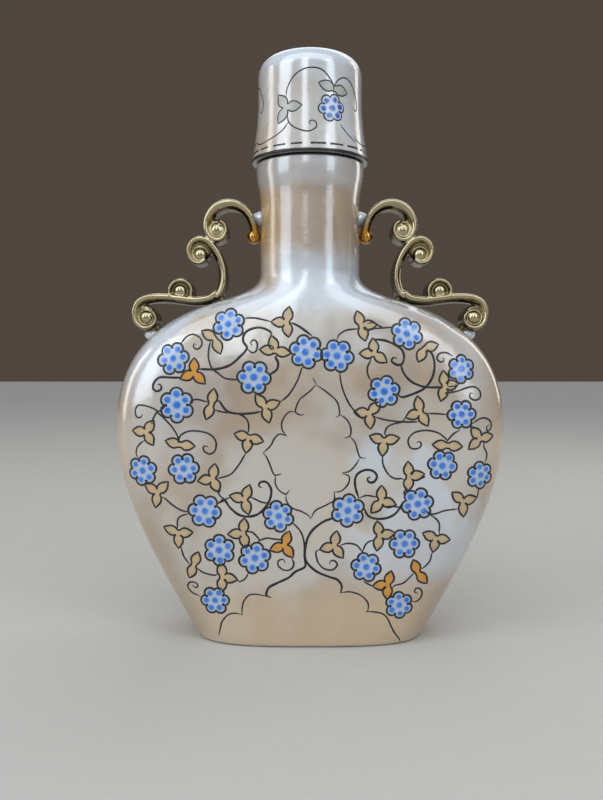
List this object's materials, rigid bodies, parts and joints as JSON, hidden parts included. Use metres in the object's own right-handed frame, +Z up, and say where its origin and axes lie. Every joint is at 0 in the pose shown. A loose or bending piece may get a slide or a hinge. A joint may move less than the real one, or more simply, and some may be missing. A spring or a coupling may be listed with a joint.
{
  "type": "sake bottle",
  "caption": "Flattened porcelain sake flask with a round neck, gilt scroll handles on its shoulders, a cork, and a small cup that covers the mouth as a lid.",
  "frame": {"origin": "middle of the foot, on the surface the bottle stands on", "axes": "+Z up through the neck; the wide faces look along -Y and +Y; the handles stand at -X and +X"},
  "size_m": [0.132, 0.046, 0.1961],
  "materials": {
    "lustre_glaze": "peach lustre glaze with enamel flowers",
    "gilding": "old gilding over glazed porcelain",
    "cork": "natural cork"
  },
  "bodies": {
    "bottle": {"bottle_body": "lustre_glaze", "handle_left": "gilding", "handle_right": "gilding"},
    "cork": {"cork_stopper": "cork"},
    "cup": {"cup_lid": "lustre_glaze"}
  },
  "joints": [
    {"name": "cork_pull", "type": "slide", "parent": "bottle", "child": "cork", "axis": [0, 0, 1], "range_m": [0, 0.03]},
    {"name": "cup_lift", "type": "slide", "parent": "cork", "child": "cup", "axis": [0, 0, 1], "range_m": [0, 0.05]}
  ]
}
